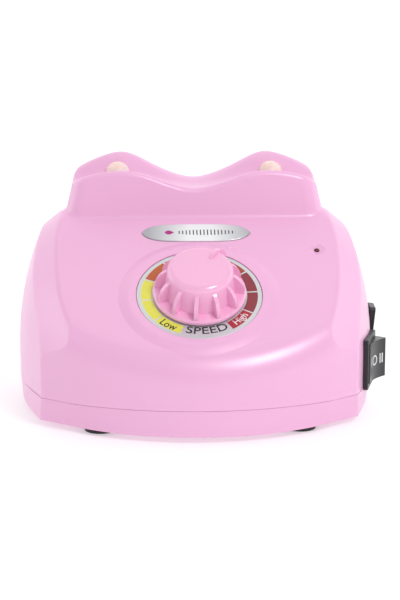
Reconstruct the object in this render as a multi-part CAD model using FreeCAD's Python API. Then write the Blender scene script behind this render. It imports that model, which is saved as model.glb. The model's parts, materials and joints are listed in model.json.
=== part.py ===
"""Control box of an electric nail drill: a moulded desktop housing with a handpiece cradle on top,
a speed dial on its sloped panel, two rocker switches on its right side and the power supply inside.

Modelled with X to the right, Y to the rear and Z up, in millimetres. The shapes are drawn with Y = 0
just in front of the apron and X = 0 on the plane of symmetry, then moved together at the end so that
the origin is at the middle of the footprint, on the table."""

import FreeCAD, Part
import math
import os

V = FreeCAD.Vector
UP = V(0, 0, 1)

# Housing: overall form
PANEL_SLOPE = 33.0                      # degrees from horizontal
PANEL_FOOT_Z = 35.9                     # height at which the panel's plane meets Y = 0
APRON_Y, APRON_R = 1.0, 116.0           # front wall: nearest point and plan radius
FACET_X, FACET_SLOPE = 59.0, 0.80       # where the corner facets start, and how fast they recede
APRON_BEND_R = 18.0                     # soft bend from apron to panel
RIDGE_Y, RIDGE_R = 95.0, 22.0           # where the panel's slope turns over to the rear deck
DECK_END_Y, DECK_END_Z = 150.0, 76.5
HALF_WIDTH = 88.5
WALL = 2.4
LEAN_START_Z, LEAN_RATE = 30.0, 0.0037  # the sides lean in above this height, as a parabola
PLAN_CENTRE_Y = 85.0
BASE_Z, FLOOR_T = 3.0, 2.5
SEAM_Z, SEAM_GAP = 15.0, 0.15
FLOOR_TOP = BASE_Z + FLOOR_T

# Cradle block
BLOCK_FOOT_Y, BLOCK_FOOT_Z = 87.0, 92.4
BLOCK_BACK_Y = 118.0
TROUGH_Y = 101.0
PAD_X, PAD_R = 38.5, 6.0

# Speed dial, measured in the panel's own frame from the dial's centre
DIAL_Y = 39.1
DIAL_R, DIAL_T = 29.7, 0.8
BOSS_R, BOSS_H = 38.6, 1.6
RECESS_FLOOR = 0.5
KNOB_R, KNOB_H, KNOB_GAP = 22.0, 17.0, 0.6
KNOB_FINS, POINTER_ANGLE = 12, 37.0     # clock angle of the pointer, clockwise from up the slope
SHAFT_R = 3.0
RUNNING_GAP = 0.05

# Badge and lamp, in the panel's frame
BADGE_V, BADGE_L, BADGE_W, BADGE_T = 45.2, 53.4, 12.8, 1.0
LAMP_U, LAMP_V, LAMP_R = 58.7, 32.8, 1.5

# Rocker switches on the right wall
DIRECTION_Y, DIRECTION_Z = 54.5, 26.2
DIRECTION_L, DIRECTION_W = 28.8, 24.6
DIRECTION_TILT = 15.0                   # half of the three-position throw, degrees
POWER_Y, POWER_Z = 88.0, 36.6
POWER_L, POWER_W = 21.0, 15.0
POWER_TILT = 10.0

# Feet and screws
FOOT_R, FOOT_H = 7.6, 3.4
FEET = [(-47.0, 26.5), (47.0, 26.5), (-50.0, 116.0), (50.0, 116.0)]
CASE_SCREWS = [(-58.0, 43.0), (58.0, 38.0), (-66.0, 112.0), (66.0, 112.0)]

# Rear connectors: distance from the middle and height
REAR_SEAT_Y = 139.4
INLET_X, INLET_Z = 30.0, 32.0
FUSE_X, FUSE_Z = -10.0, 32.0
PEDAL_X, PEDAL_Z = -32.0, 32.0
HANDPIECE_X, HANDPIECE_Z = -52.0, 32.0

# Power supply
CORE_X, CORE_Y, CORE_Z = -37.0, 92.0, 9.0
CORE_W, CORE_D, CORE_H = 48.0, 24.0, 40.0
LEG = 8.0
BOARD_X, BOARD_Y, BOARD_Z = 22.0, 57.0, 11.5
BOARD_L, BOARD_W, BOARD_T = 60.0, 56.0, 1.6


# ---------------------------------------------------------------- helpers

def rounded_wire(corners, radii):
    """A closed outline through the corners, each one rounded by its own radius."""
    starts, middles, ends = [], [], []
    for i, corner in enumerate(corners):
        if not radii[i]:
            starts.append(corner)
            middles.append(None)
            ends.append(corner)
            continue
        back = (corners[i - 1] - corner).normalize()
        ahead = (corners[(i + 1) % len(corners)] - corner).normalize()
        half = back.getAngle(ahead) / 2
        reach = radii[i] / math.tan(half)
        starts.append(corner + back * reach)
        ends.append(corner + ahead * reach)
        inward = (back + ahead).normalize()
        middles.append(corner + inward * (radii[i] / math.sin(half) - radii[i]))
    edges = []
    for i in range(len(corners)):
        if middles[i] is not None:
            edges.append(Part.Arc(starts[i], middles[i], ends[i]).toShape())
        edges.append(Part.makeLine(ends[i], starts[(i + 1) % len(corners)]))
    return Part.Wire(edges)


def prism(points, radii, direction):
    """A rounded flat outline pushed along a direction."""
    return Part.Face(rounded_wire(points, radii)).extrude(direction)


def box(length, width, height, x=0.0, y=0.0, z=0.0, radius=0.0):
    """A box centred on x and y and standing on z, with its upright edges rounded."""
    a, b = length / 2, width / 2
    corners = [V(x - a, y - b, z), V(x + a, y - b, z), V(x + a, y + b, z), V(x - a, y + b, z)]
    return prism(corners, [radius] * 4, V(0, 0, height))


def rod(radius, height, x=0.0, y=0.0, z=0.0, axis=UP):
    return Part.makeCylinder(radius, height, V(x, y, z), axis)


def tube(outer, inner, height, x=0.0, y=0.0, z=0.0):
    return rod(outer, height, x, y, z).cut(rod(inner, height, x, y, z))


def hexagon(across_flats, height, z=0.0):
    corner = across_flats / math.sqrt(3)
    points = [V(corner * math.cos(k * math.pi / 3), corner * math.sin(k * math.pi / 3), z)
              for k in range(7)]
    return Part.Face(Part.makePolygon(points)).extrude(V(0, 0, height))


def turned(points):
    """Solid of revolution about Z from a closed outline of (radius, height) points."""
    wire = Part.makePolygon([V(r, 0, z) for r, z in points + points[:1]])
    return Part.Face(wire).revolve(V(0, 0, 0), UP, 360)


def joined(shapes):
    return shapes[0].multiFuse(shapes[1:]).removeSplitter() if len(shapes) > 1 else shapes[0]


def edges_where(shape, test):
    return [edge for edge in shape.Edges if test(edge.CenterOfMass, edge)]


def both_sides(shape):
    """The shape and its mirror image across the plane of symmetry."""
    return [shape, shape.mirror(V(0, 0, 0), V(1, 0, 0))]


def panel_z(y):
    return PANEL_FOOT_Z + y * math.tan(math.radians(PANEL_SLOPE))


def put(shape, placement):
    """A copy of the shape moved by a placement, on top of where it already is."""
    moved = shape.copy()
    moved.Placement = placement.multiply(shape.Placement)
    return moved


def on_panel(shape, u=0.0, v=0.0, w=0.0):
    """Puts a shape drawn about its own Z on the panel: u across, v up the slope, w outward."""
    slope = math.radians(PANEL_SLOPE)
    place = V(u, DIAL_Y + v * math.cos(slope) - w * math.sin(slope),
              panel_z(DIAL_Y) + v * math.sin(slope) + w * math.cos(slope))
    return put(shape, FreeCAD.Placement(place, FreeCAD.Rotation(V(1, 0, 0), PANEL_SLOPE)))


def clock(shape, angle):
    """Turns a shape about Z, clockwise as seen from above."""
    turned_shape = shape.copy()
    turned_shape.rotate(V(0, 0, 0), UP, -angle)
    return turned_shape


# ---------------------------------------------------------------- housing surfaces

SIDE_PLAN = [(66, -6), (74.5, 29), (83.8, 58), (HALF_WIDTH, 92), (86.6, 117), (79, 132), (62, 139.4),
             (36, 140.6)]
REAR_MIDDLE_Y = 140.8


def plan_curve(z, inset=0.0):
    """Plan outline of the sides and the rear at one height, open at the front."""
    lean = LEAN_RATE * max(0.0, z - LEAN_START_Z) ** 2
    scale = 1 - (lean + inset) / HALF_WIDTH
    half = [V(x * scale, PLAN_CENTRE_Y + (y - PLAN_CENTRE_Y) * scale, z) for x, y in SIDE_PLAN]
    middle = V(0, PLAN_CENTRE_Y + (REAR_MIDDLE_Y - PLAN_CENTRE_Y) * scale, z)
    curve = Part.BSplineCurve()
    curve.interpolate(half + [middle] + [V(-p.x, p.y, z) for p in reversed(half)])
    return curve


def sides(inset):
    wires = []
    for z in (-2, 15, 30, 42, 54, 66, 78, 90, 102, 114):
        curve = plan_curve(z, inset)
        wires.append(Part.Wire([curve.toShape(), Part.makeLine(curve.EndPoint, curve.StartPoint)]))
    return Part.makeLoft(wires, True, False)


def front_wall(x, inset):
    """Plan line of the front: a broad arc, then a straight facet to each side."""
    reach = min(abs(x), FACET_X)
    arc = APRON_Y + APRON_R - math.sqrt((APRON_R - inset) ** 2 - reach ** 2)
    return arc + (abs(x) - reach) * FACET_SLOPE


def wedge(inset):
    """Apron, corner facets, sloped panel and rear deck, as side profiles along the front wall."""
    drop = inset / math.cos(math.radians(PANEL_SLOPE))
    wires = []
    for x in (-92, -76, -68, -60, -50, -34, -17, 0, 17, 34, 50, 60, 68, 76, 92):
        front = front_wall(x, inset)
        corners = [V(x, front, -2), V(x, front, panel_z(front) - drop),
                   V(x, RIDGE_Y, panel_z(RIDGE_Y) - drop), V(x, DECK_END_Y, DECK_END_Z - inset),
                   V(x, DECK_END_Y, -2)]
        wires.append(rounded_wire(corners, [0, APRON_BEND_R - inset, RIDGE_R - inset, 0, 0]))
    return Part.makeLoft(wires, True, False)


# Straight rulings of the shoulder, from its inner edge beside the panel to its outer edge on the side
# wall. It crosses the upright corner facet at about mid height and opens into the slope beside the cradle.
SHOULDER = [((57, 9, 24), (72.5, 20, 14)), ((60.3, 18.5, 44), (74.6, 29.6, 34)),
            ((62.8, 29.2, 54.9), (75.9, 35.6, 45)), ((66.4, 44, 64.5), (78.3, 48, 57)),
            ((68.7, 68, 80.1), (79, 71, 73.5)), ((68, 94.5, 93.4), (77.4, 97.5, 85.6)),
            ((67, 121, 86.5), (74, 123, 80.5)), ((63.5, 150, 77), (70.5, 152, 71))]
CUTTER_REACH = 32.0


def shoulder_cutter(inset):
    wires = []
    for inner, outer in SHOULDER:
        inner, outer = V(*inner), V(*outer)
        along = (outer - inner).normalize()
        wires.append(Part.Wire(Part.makeLine(inner - along * CUTTER_REACH, outer + along * CUTTER_REACH)))
    surface = Part.makeLoft(wires, False, False)
    surface.translate(V(-0.9, 0.5, -0.6) * inset)
    return surface.Faces[0].extrude(V(60, -60, 48))


def body(inset):
    shape = wedge(inset).common(sides(inset))
    for cutter in both_sides(shoulder_cutter(inset)):
        shape = shape.cut(cutter)
    return shape


# Heights of the cradle across its width: front rim, trough floor and back wall
RIM = [(0, 106.4), (9, 108.1), (17, 111.6), (25, 115.6), (34, 117.8), (46, 116.8), (58, 113.2), (74, 107)]
TROUGH = [(0, 107.0), (9, 107.9), (17, 109.6), (25, 111.6), (34, 112.9), (46, 112.3), (58, 109.8),
          (74, 104.5)]
BACK = [(0, 110.0), (9, 111.7), (17, 114.8), (25, 118.7), (35, 122.4), (46, 120.6), (57, 115.9), (74, 104)]


def blend(first, second, share):
    return [(a * (1 - share) + c * share, b * (1 - share) + d * share)
            for (a, b), (c, d) in zip(first, second)]


def cradle_section(y, heights, rise, inset):
    half = [V(x, y, z + rise - inset) for x, z in heights]
    points = [V(-p.x, p.y, p.z) for p in reversed(half[1:])] + half
    curve = Part.BSplineCurve()
    curve.interpolate(points)
    foot = 50
    left, right = points[0], points[-1]
    return Part.Wire([curve.toShape(), Part.makeLine(right, V(right.x, y, foot)),
                      Part.makeLine(V(right.x, y, foot), V(left.x, y, foot)),
                      Part.makeLine(V(left.x, y, foot), left)])


def cradle_plan(z, inset):
    rise = z - BLOCK_FOOT_Z
    front = BLOCK_FOOT_Y + 0.096 * rise + inset
    back = BLOCK_BACK_Y - 0.10 * rise - inset
    front_half = 65.0 - 0.24 * rise - inset
    back_half = 65.4 - 0.22 * rise - inset
    corners = [V(-front_half, front, z), V(front_half, front, z), V(back_half, back, z),
               V(-back_half, back, z)]
    return rounded_wire(corners, [9 - inset, 9 - inset, 10 - inset, 10 - inset])


def cradle(inset):
    """The block on top that carries the handpiece: rim, saddle-shaped trough and higher back wall."""
    stations = [(70, RIM, 0), (88.5, RIM, 0), (95, blend(RIM, TROUGH, 0.85), 0), (TROUGH_Y, TROUGH, 0.4),
                (107.5, blend(TROUGH, BACK, 0.9), 0), (114, BACK, 0), (130, BACK, -3)]
    top = Part.makeLoft([cradle_section(y, heights, rise, inset) for y, heights, rise in stations],
                        True, False)
    plan = Part.makeLoft([cradle_plan(60, inset), cradle_plan(130, inset)], True, True)
    return top.common(plan)


def edges_near(shape, points):
    """For each point, the edge whose middle is nearest, on both sides of the plane of symmetry."""
    found = []
    for x, y, z in points:
        for mark in {(x, y, z), (-x, y, z)}:
            edge = min(shape.Edges, key=lambda e: (e.CenterOfMass - V(*mark)).Length)
            found.append(edge)
    return found


PANEL_EDGES = [(61.7, 22.3, 47.2), (67.3, 56.6, 72.6)]
SHOULDER_EDGE = (74.4, 88.5, 71.4)


def housing_outside():
    """Body and cradle in one, with the moulding's rounded edges."""
    lower, block = body(0), cradle(0)
    meeting = [edge.CenterOfMass for edge in lower.section(block).Edges]
    shape = lower.fuse(block)
    foot = [e for e in shape.Edges if any((e.CenterOfMass - mark).Length < 0.3 for mark in meeting)]
    shape = shape.makeFillet(3.0, foot)
    rim = [e for e in shape.Edges
           if e.CenterOfMass.z > 108 and 85 < e.CenterOfMass.y < 118 and e.Length > 9]
    shape = shape.makeFillet(2.5, rim)
    shape = shape.makeFillet(4.0, edges_near(shape, PANEL_EDGES))
    shape = shape.makeFillet(3.0, edges_near(shape, [SHOULDER_EDGE]))
    return shape


# ---------------------------------------------------------------- housing parts

def boss():
    """Low round swelling of the panel around the dial, shallow at its foot."""
    curve = Part.BSplineCurve()
    curve.interpolate([V(BOSS_R + 1.6, 0, -0.5), V(BOSS_R - 1.2, 0, 0.35), V(BOSS_R - 4.2, 0, BOSS_H - 0.2),
                       V(DIAL_R + 2.2, 0, BOSS_H)])
    inner = DIAL_R - 3
    outline = Part.Wire([curve.toShape(), Part.makeLine(curve.EndPoint, V(inner, 0, BOSS_H)),
                         Part.makeLine(V(inner, 0, BOSS_H), V(inner, 0, -0.5)),
                         Part.makeLine(V(inner, 0, -0.5), curve.StartPoint)])
    ring = Part.Face(outline).revolve(V(0, 0, 0), UP, 360)
    return ring.fuse(rod(inner + 0.01, BOSS_H + 0.5, z=-0.5))


# Half outline of the badge, from the middle to a tip, as shares of its half length and half width
BADGE_HALF = [(0, 1), (0.52, 0.95), (0.78, 0.77), (0.92, 0.46), (1, 0)]


def badge_outline(length, width, height, z=0.0):
    """A flat oval with pointed tips, fuller than two arcs."""
    half = [(x * length / 2, y * width / 2) for x, y in BADGE_HALF]
    curves = []
    for side in (1, -1):
        points = [V(-x, side * y, z) for x, y in reversed(half[1:])] + [V(x, side * y, z) for x, y in half]
        curve = Part.BSplineCurve()
        curve.interpolate(points)
        curves.append(curve.toShape())
    return Part.Face(Part.Wire(curves)).extrude(V(0, 0, height))


def wall_place(y, z, tilt=0.0):
    """Frame on the right wall: X rearward along the wall, Y up, Z outward. Returns its placement."""
    curve = plan_curve(z)
    spot = curve.parameter(V(HALF_WIDTH - 2, y, z))
    point = curve.value(spot)
    along = curve.tangent(spot)[0]
    if along.y < 0:
        along = along * -1
    out = along.cross(UP).normalize()
    lean = FreeCAD.Rotation(along, tilt)
    return FreeCAD.Placement(point, FreeCAD.Rotation(along, lean.multVec(UP), lean.multVec(out), "XZY"))


def rear(shape, x, z):
    """Puts a shape drawn about its own Z on the rear seat: X to the left, Y up, Z rearward."""
    turn = FreeCAD.Rotation(V(-1, 0, 0), V(0, 0, 1), V(0, 1, 0), "ZXY")
    return put(shape, FreeCAD.Placement(V(x, REAR_SEAT_Y, z), turn))


SEAT_DEPTH = 1.0
DIRECTION_PLACE = wall_place(DIRECTION_Y, DIRECTION_Z)
POWER_PLACE = wall_place(POWER_Y, POWER_Z, 5.5)
SWITCH_BODY_GAP = 0.15


def switch_cuts(length, width, place):
    """Flat seat for a rocker's bezel in the curved wall, and the opening for its body."""
    seat = box(length + 0.3, width + 0.3, 12, z=-SEAT_DEPTH, radius=1.6)
    opening = box(length - 3.4 + 2 * SWITCH_BODY_GAP, width - 3.4 + 2 * SWITCH_BODY_GAP, 20, z=-12)
    return [put(seat, place), put(opening, place)]


def rear_cuts():
    cuts = [rear(box(50.4, 22.9, 8, radius=3.2), INLET_X, INLET_Z),
            rear(box(29.4, 20.9, 30, z=-16), INLET_X, INLET_Z)]
    for x, z, seat_r, hole_r in ((FUSE_X, FUSE_Z, 9.4, 7.4), (PEDAL_X, PEDAL_Z, 8.4, 5.2),
                                 (HANDPIECE_X, HANDPIECE_Z, 9.4, 8.2)):
        cuts.append(rear(rod(seat_r, 8), x, z))
        cuts.append(rear(rod(hole_r, 30, z=-16), x, z))
    for side in (-20.0, 20.0):
        cuts.append(rear(rod(1.3, 20, z=-12), INLET_X + side, INLET_Z))
    return cuts


VENT_COUNT, VENT_PITCH, VENT_W, VENT_H = 9, 6.0, 2.4, 15.0


def vent_cuts():
    first = -(VENT_COUNT - 1) / 2 * VENT_PITCH
    return [box(VENT_W, 30, VENT_H, x=first + k * VENT_PITCH, y=138, z=52) for k in range(VENT_COUNT)]


PILLAR_R = 4.2
PAD_SEAT_Z = 111.5


def upper_shell():
    outer = housing_outside().fuse(on_panel(boss()))
    inner = body(WALL).fuse(cradle(WALL))
    shell = outer.cut(inner)
    keep = box(220, 220, 200, y=80, z=SEAM_Z + SEAM_GAP)
    shell = shell.common(keep)
    pillars = []
    for x, y in CASE_SCREWS:
        pillars.append(rod(PILLAR_R, 90, x, y, SEAM_Z + 1).common(body(WALL - 0.6)))
    shell = shell.multiFuse(pillars)
    cuts = [rod(1.25, 16, x, y, SEAM_Z) for x, y in CASE_SCREWS]
    cuts.append(on_panel(rod(DIAL_R + 0.3, 5, z=RECESS_FLOOR)))
    cuts.append(on_panel(rod(3.7, 20, z=-12)))
    cuts.append(on_panel(badge_outline(BADGE_L + 0.4, BADGE_W + 0.3, 5, z=-0.5), v=BADGE_V))
    dimple = Part.makeSphere(9.3, V(0, 0, 8.4))
    cuts.append(on_panel(dimple, LAMP_U, LAMP_V))
    cuts.append(on_panel(rod(LAMP_R - 0.1, 10, z=-6), LAMP_U, LAMP_V))
    for x in (-PAD_X, PAD_X):
        cuts.append(rod(2.5, 20, x, TROUGH_Y, 100))
        cuts.append(pad_dome(x, PAD_R + 0.1))
    cuts += switch_cuts(DIRECTION_L, DIRECTION_W, DIRECTION_PLACE)
    cuts += switch_cuts(POWER_W, POWER_L, POWER_PLACE)
    cuts += rear_cuts() + vent_cuts()
    for cut in cuts:
        shell = shell.cut(cut)
    return shell


# Bottom outline of the base: it tucks in below the seam, most at the corners and the sides
BASE_PLAN_SEAM = [(74.9, 30), (83.8, 58), (HALF_WIDTH, 92), (86.6, 117), (79, 132), (62, 139.4),
                  (36, 140.6)]
BASE_PLAN_FOOT = [(75.8, 35.5), (82.6, 60), (87.6, 92), (85.7, 117), (77.9, 131), (61, 137.8), (36, 139)]


def base_outline(z, corner, arc_middle, side_points, rear_y, inset):
    scale = 1 - inset / HALF_WIDTH

    def inner(x, y):
        return V(x * scale, PLAN_CENTRE_Y + (y - PLAN_CENTRE_Y) * scale, z)

    half = [inner(x, y) for x, y in side_points]
    curve = Part.BSplineCurve()
    curve.interpolate(half + [inner(0, rear_y)] + [V(-p.x, p.y, z) for p in reversed(half)])
    right, left = inner(*corner), inner(-corner[0], corner[1])
    front = Part.Arc(left, inner(*arc_middle), right).toShape()
    return Part.Wire([front, Part.makeLine(right, half[0]), curve.toShape(),
                      Part.makeLine(V(-half[0].x, half[0].y, z), left)])


def base_form(inset, low, high):
    """The base's tapered form between two heights."""
    corner_y = front_wall(FACET_X, 0)
    seam = base_outline(SEAM_Z, (FACET_X, corner_y), (0, APRON_Y), BASE_PLAN_SEAM, REAR_MIDDLE_Y, inset)
    foot = base_outline(BASE_Z, (59.8, 22.7), (0, APRON_Y - 0.6), BASE_PLAN_FOOT, REAR_MIDDLE_Y - 1.6,
                        inset)
    return Part.makeLoft([foot, seam], True, True).common(box(220, 220, high - low, y=80, z=low))


def base_pan():
    outer = base_form(0, BASE_Z, SEAM_Z)
    pan = outer.cut(base_form(WALL, FLOOR_TOP, SEAM_Z))
    rim_outer, rim_inner = plan_lip(WALL + 0.25), plan_lip(WALL + 1.6)
    pan = pan.fuse(rim_outer.cut(rim_inner))
    bosses = [rod(PILLAR_R, SEAM_Z + 0.6 - FLOOR_TOP + 1, x, y, FLOOR_TOP - 1) for x, y in CASE_SCREWS]
    bosses += [rod(3.9, 6.4, x, y, FLOOR_TOP - 1) for x, y in FEET]
    bosses += [rod(3.2, BOARD_Z - FLOOR_TOP + 1, x, y, FLOOR_TOP - 1) for x, y in board_holes()]
    bosses += [box(44, 4, CORE_Z - FLOOR_TOP + 1, CORE_X, CORE_Y + k, FLOOR_TOP - 1) for k in (-8, 8)]
    bosses += [rod(4.5, CORE_Z - FLOOR_TOP + 1, x, CORE_Y, FLOOR_TOP - 1) for x in strap_holes()]
    pan = pan.multiFuse(bosses)
    cuts = [rod(1.7, 30, x, y, 0) for x, y in CASE_SCREWS]
    cuts += [rod(3.4, 7, x, y, BASE_Z - 1) for x, y in CASE_SCREWS]
    cuts += [rod(1.3, 9, x, y, BASE_Z - 0.5) for x, y in FEET]
    cuts += [rod(FOOT_R + 0.2, FOOT_H - BASE_Z + 0.5, x, y, BASE_Z - 0.5) for x, y in FEET]
    cuts += [rod(1.1, 7, x, y, BOARD_Z - 5.5) for x, y in board_holes()]
    cuts += [rod(1.3, 5.5, x, CORE_Y, CORE_Z - 5) for x in strap_holes()]
    cuts += [box(2.4, 26, 10, x=k * 6.0, y=60, z=0, radius=1.1) for k in range(-3, 4)]
    cuts += [put(box(DIRECTION_L + 0.3, DIRECTION_W + 0.3, 12, z=-SEAT_DEPTH, radius=1.6), DIRECTION_PLACE),
             put(box(DIRECTION_L - 2.4, DIRECTION_W - 2.4, 30, z=-26), DIRECTION_PLACE)]
    for cut in cuts:
        pan = pan.cut(cut)
    return pan


def plan_lip(inset):
    """Inside form of the wall over the short height where base and shell overlap."""
    return body(inset).common(box(220, 220, 7, y=80, z=SEAM_Z - 3.2))


# ---------------------------------------------------------------- dial, knob and potentiometer

def dial_plate():
    disc = rod(DIAL_R, DIAL_T, z=RECESS_FLOOR)
    disc = disc.makeFillet(0.2, edges_where(disc, lambda c, e: c.z > RECESS_FLOOR + DIAL_T - 0.1))
    return on_panel(disc.cut(rod(3.7, 4)))


PLATE_TOP = RECESS_FLOOR + DIAL_T
KNOB_BOTTOM = PLATE_TOP + KNOB_GAP
FLANGE_T = 2.4
FIN_T = 1.9
BODY_FOOT_R, BODY_TOP_R = 16.6, 15.3


# Bowed outer edges of a grip fin and of the pointer, as (radius, height) from the flange to the top
GRIP_EDGE = [(KNOB_R - 0.9, 2.0), (KNOB_R - 1.8, 7.8), (KNOB_R - 4.8, 12.0), (KNOB_R - 9, 13.8)]
POINTER_EDGE = [(KNOB_R - 0.9, 2.0), (KNOB_R - 1.3, 8.5), (KNOB_R - 3.6, 14.6), (KNOB_R - 8, 18.0),
                (KNOB_R - 14.5, 17.0)]


def knob_fin(edge):
    """Upright blade from the knob's flange to its body, inside a bowed outer edge."""
    curve = Part.BSplineCurve()
    curve.interpolate([V(0, r, z) for r, z in edge])
    foot, head = curve.StartPoint, curve.EndPoint
    low = V(0, head.y, foot.z)
    outline = Part.Wire([curve.toShape(), Part.makeLine(head, low), Part.makeLine(low, foot)])
    blade = Part.Face(outline).extrude(V(FIN_T, 0, 0))
    blade.translate(V(-FIN_T / 2, 0, 0))
    return blade


def speed_knob():
    outline = [(0, 0), (KNOB_R - 0.4, 0), (KNOB_R, 0.5), (KNOB_R, 1.7), (KNOB_R - 0.8, FLANGE_T),
               (BODY_FOOT_R + 0.3, FLANGE_T + 0.5), (BODY_TOP_R, KNOB_H - 0.3), (0, KNOB_H)]
    form = turned(outline)
    shoulder = edges_where(form, lambda c, e: c.z > KNOB_H - 0.5 and e.Length > 50)
    form = form.makeFillet(3.2, shoulder)
    fins = [clock(knob_fin(GRIP_EDGE), POINTER_ANGLE + k * 360 / KNOB_FINS) for k in range(1, KNOB_FINS)]
    pointer = clock(knob_fin(POINTER_EDGE), POINTER_ANGLE)
    form = form.multiFuse(fins + [pointer])
    for cut in (rod(9.6, 5, z=-0.01), rod(SHAFT_R, 8.2, z=4.9), knob_screw_form(0.0)):
        form = form.cut(cut)
    return on_panel(form, w=KNOB_BOTTOM)


SCREW_ANGLE = POINTER_ANGLE - 45.0
SCREW_Z = 9.5


def knob_screw_form(shorter):
    """The grub screw's hole runs out through the knob's side, between two fins."""
    screw = rod(1.5, 20 - shorter, z=SCREW_Z, y=SHAFT_R - 0.1, axis=V(0, 1, 0))
    return clock(screw, SCREW_ANGLE)


def knob_set_screw():
    return on_panel(clock(rod(1.5, 8, z=SCREW_Z, y=SHAFT_R, axis=V(0, 1, 0)), SCREW_ANGLE), w=KNOB_BOTTOM)


POT_FACE = -WALL - 0.1
SHAFT_END = KNOB_BOTTOM + 13.0


def pot_body():
    can = rod(11.5, 9, z=POT_FACE - 9)
    can = can.makeFillet(0.8, edges_where(can, lambda c, e: c.z < POT_FACE - 8))
    bush = rod(3.5, -POT_FACE + 6.2, z=POT_FACE)
    legs = [box(1.2, 0.5, 9, x=x, y=-13.5, z=POT_FACE - 9) for x in (-5, 0, 5)]
    tab = box(13, 5, 1.2, y=-11.5, z=POT_FACE - 6)
    form = joined([can, bush, tab] + legs)
    return on_panel(form.cut(rod(SHAFT_R + RUNNING_GAP, 20, z=POT_FACE - 4)))


def pot_shaft():
    return on_panel(rod(SHAFT_R, SHAFT_END - POT_FACE + 3.9, z=POT_FACE - 3.9))


def pot_washer():
    return on_panel(tube(6.5, 3.6, 0.6, z=PLATE_TOP))


def pot_nut():
    nut = hexagon(10.0, 2.2, z=PLATE_TOP + 0.6)
    return on_panel(nut.cut(rod(3.55, 6)))


# ---------------------------------------------------------------- badge, lamp and cradle pads

def badge_plate():
    plate = badge_outline(BADGE_L, BADGE_W, BADGE_T, z=-0.5)
    plate = plate.makeFillet(0.35, edges_where(plate, lambda c, e: c.z > BADGE_T - 0.6 and e.Length > 5))
    return on_panel(plate, v=BADGE_V)


def indicator_led():
    lens = rod(LAMP_R - 0.15, 4.2, z=-5.4).fuse(Part.makeSphere(LAMP_R - 0.15, V(0, 0, -1.2)))
    collar = rod(1.9, 0.9, z=-6.3)
    leads = [box(0.5, 0.5, 7, x=x, z=-13.2) for x in (-0.9, 0.9)]
    return on_panel(joined([lens, collar] + leads), LAMP_U, LAMP_V)


def led_holder():
    ring = tube(3.4, 1.45, 3.6, z=-6.1 + 0.7)
    ring = ring.cut(rod(2.0, 0.8, z=-5.5)).cut(rod(9, 6, z=-2.5))
    return on_panel(ring, LAMP_U, LAMP_V)


def pad_dome(x, radius):
    ball = Part.makeSphere(radius, V(x, TROUGH_Y, PAD_SEAT_Z + 1.5))
    return ball.common(box(30, 30, 20, x=x, y=TROUGH_Y, z=PAD_SEAT_Z))


def cradle_pad(x):
    """Soft translucent dome on a stem that is pulled through the trough's floor."""
    dome = pad_dome(x, PAD_R)
    stem = rod(2.45, 10, x, TROUGH_Y, PAD_SEAT_Z - 6)
    return joined([dome, stem, rod(3.6, 1.6, x, TROUGH_Y, PAD_SEAT_Z - 6)])


# ---------------------------------------------------------------- rocker switches

PIVOT_R, PIVOT_Z = 1.4, 0.0
BEZEL_T = 2.9
BEZEL_RIM = 5.2                         # bezel's outside less its opening, over both sides


def switch_body(length, width):
    """Bezel, box and blades of a rocker switch whose long way is on X, open in front for its paddle."""
    flange = box(length, width, BEZEL_T, z=-SEAT_DEPTH, radius=1.5)
    flange = flange.makeFillet(0.5, edges_where(flange, lambda c, e: c.z > BEZEL_T - SEAT_DEPTH - 0.1))
    case = box(length - 3.4, width - 3.4, 22, z=-SEAT_DEPTH - 22)
    form = flange.fuse(case)
    form = form.cut(box(length - BEZEL_RIM, width - BEZEL_RIM, 14, z=-11.5))
    reach = width - BEZEL_RIM + 1.4
    form = form.cut(rod(PIVOT_R + RUNNING_GAP, reach, y=-reach / 2, z=PIVOT_Z, axis=V(0, 1, 0)))
    blades = [box(0.8, 4.8, 9, x=k * length * 0.27, z=-SEAT_DEPTH - 30.5) for k in (-1, 0, 1)]
    return joined([form] + blades)


def direction_switch_body():
    return put(switch_body(DIRECTION_L, DIRECTION_W), DIRECTION_PLACE)


def power_switch_body():
    form = switch_body(POWER_L, POWER_W)
    form.rotate(V(0, 0, 0), UP, -90)
    return put(form, POWER_PLACE)


def rocker(reach, width, proud, tilt):
    """Paddle drawn level with its long way on X: ends round about the pin, face hollowed, then tilted."""
    rise = proud - PIVOT_Z
    a = math.sqrt(reach ** 2 - rise ** 2)
    low, heel = -4.2, reach * 0.72
    side = V(math.sqrt(reach ** 2 - 4.0), 0, PIVOT_Z - 2.0)

    def mirrored(point):
        return V(-point.x, 0, point.z)

    top, belly = V(a, 0, proud), V(reach * math.cos(0.18), 0, PIVOT_Z + reach * math.sin(0.18))
    face = Part.Arc(top, V(0, 0, proud - 1.7), mirrored(top)).toShape()
    corner = V(heel, 0, low)
    lines = [face, Part.Arc(mirrored(top), mirrored(belly), mirrored(side)).toShape(),
             Part.makeLine(mirrored(side), mirrored(corner)), Part.makeLine(mirrored(corner), corner),
             Part.makeLine(corner, side), Part.Arc(side, belly, top).toShape()]
    form = Part.Face(Part.Wire(lines)).extrude(V(0, width, 0))
    form.translate(V(0, -width / 2, 0))
    ends = edges_where(form, lambda c, e: (c - V(math.copysign(a, c.x), 0, proud)).Length < 0.2)
    form = form.makeFillet(0.7, ends)
    pin = Part.makeCylinder(PIVOT_R, width + 1.2, V(0, -width / 2 - 0.6, PIVOT_Z), V(0, 1, 0))
    form = form.fuse(pin)
    form.rotate(V(0, 0, PIVOT_Z), V(0, 1, 0), -tilt)
    return form


def direction_rocker():
    """At rest the front end is pressed and the rear end stands out."""
    form = rocker((DIRECTION_L - BEZEL_RIM) / 2 - 0.25, DIRECTION_W - BEZEL_RIM - 0.4, 5.4, DIRECTION_TILT)
    return put(form, DIRECTION_PLACE)


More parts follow.
